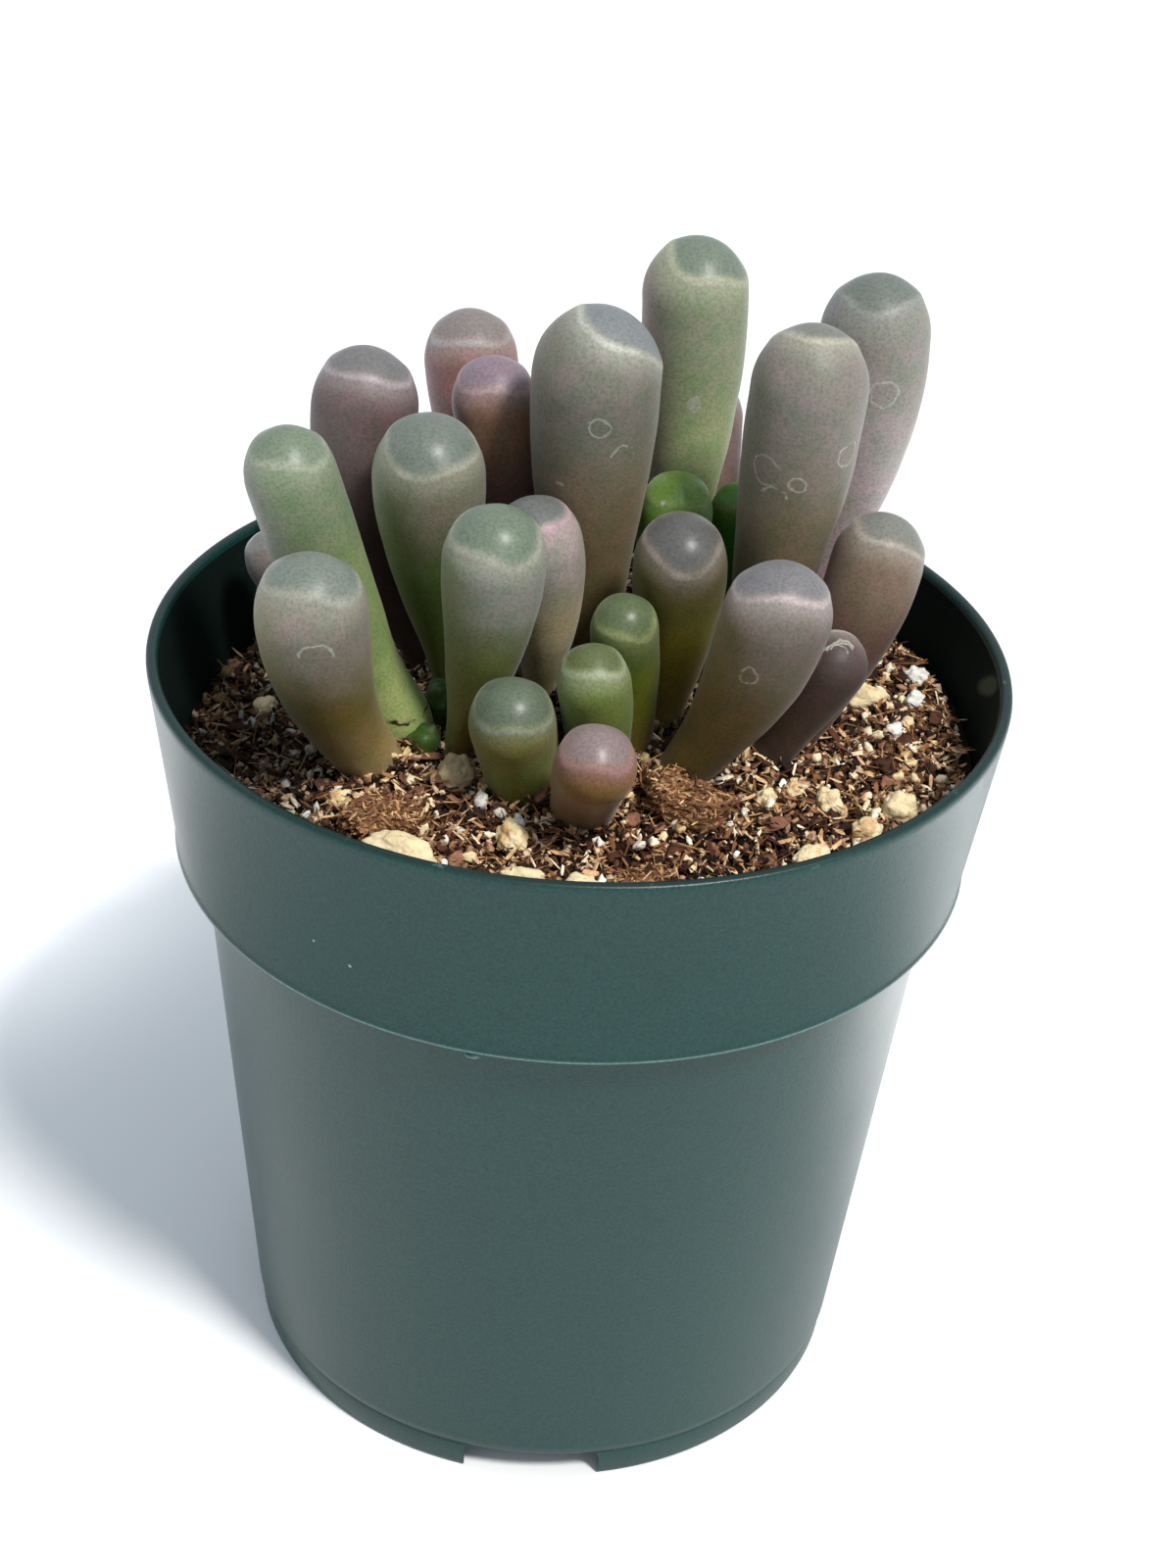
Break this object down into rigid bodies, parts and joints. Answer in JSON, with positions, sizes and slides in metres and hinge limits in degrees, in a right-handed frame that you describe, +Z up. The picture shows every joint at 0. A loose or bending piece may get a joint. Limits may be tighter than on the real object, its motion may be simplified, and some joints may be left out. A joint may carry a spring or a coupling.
{
  "type": "potted baby toes",
  "caption": "Clump of club-shaped baby toes succulent leaves with clear windowed tips, growing in soil in a small round nursery pot.",
  "frame": {"origin": "on the surface the pot stands on, under the middle of the pot's foot ring", "axes": "+Z up, along the pot's axis; -Y is the clump's front, the side with the lowest leaves; +X is to the right seen from the front"},
  "size_m": [0.064, 0.064, 0.0866],
  "materials": {
    "green_polypropylene": "satin moulded",
    "potting_soil": "rough, crumbly",
    "crown_skin": "matte",
    "leaf_skin_mauve": "velvety matte with a translucent window at the tip",
    "leaf_skin_green": "velvety matte with a translucent window at the tip",
    "perlite": "rough, porous",
    "grey_stone": "rough",
    "bark": "rough, fibrous"
  },
  "bodies": {
    "root": {"pot": "green_polypropylene", "soil": "potting_soil", "crown_left": "crown_skin", "crown_left_front": "crown_skin", "crown_middle": "crown_skin", "crown_front": "crown_skin", "crown_right": "crown_skin", "crown_back": "crown_skin", "leaf_left_tall": "leaf_skin_mauve", "leaf_left_inner": "leaf_skin_mauve", "leaf_left_low": "leaf_skin_mauve", "leaf_left_green": "leaf_skin_green", "leaf_left_front": "leaf_skin_mauve", "leaf_middle_front": "leaf_skin_mauve", "leaf_left_bud": "leaf_skin_green", "leaf_middle_tall": "leaf_skin_mauve", "leaf_middle_back": "leaf_skin_mauve", "leaf_middle_inner": "leaf_skin_mauve", "leaf_middle_pink": "leaf_skin_mauve", "leaf_middle_rear": "leaf_skin_mauve", "leaf_front_grey": "leaf_skin_mauve", "leaf_front_small": "leaf_skin_mauve", "leaf_front_green": "leaf_skin_green", "leaf_front_slim": "leaf_skin_green", "leaf_front_inner": "leaf_skin_mauve", "leaf_front_curved": "leaf_skin_mauve", "leaf_right_outer": "leaf_skin_mauve", "leaf_right_small": "leaf_skin_mauve", "leaf_back_broad": "leaf_skin_mauve", "leaf_back_tall": "leaf_skin_green", "leaf_back_outer": "leaf_skin_mauve", "leaf_back_young": "leaf_skin_green", "leaf_back_slim": "leaf_skin_green", "leaf_back_bent": "leaf_skin_mauve", "leaf_back_rear": "leaf_skin_mauve", "perlite_front_long": "perlite", "perlite_peanut": "perlite", "stone_grey": "grey_stone", "perlite_yellow": "perlite", "perlite_rim_left": "perlite", "perlite_rim_middle": "perlite", "perlite_rim_right": "perlite", "perlite_right_round": "perlite", "perlite_right_front": "perlite", "perlite_right_inner": "perlite", "perlite_right_pair_a": "perlite", "perlite_right_pair_b": "perlite", "perlite_side_long": "perlite", "perlite_side_small": "perlite", "perlite_side_white_a": "perlite", "perlite_side_white_b": "perlite", "perlite_back_left": "perlite", "perlite_back_middle": "perlite", "perlite_back_right": "perlite", "perlite_left_wall": "perlite", "bark_front_left": "bark", "bark_front_right": "bark", "bark_front_rim": "bark", "bark_back_left": "bark"}
  },
  "joints": []
}
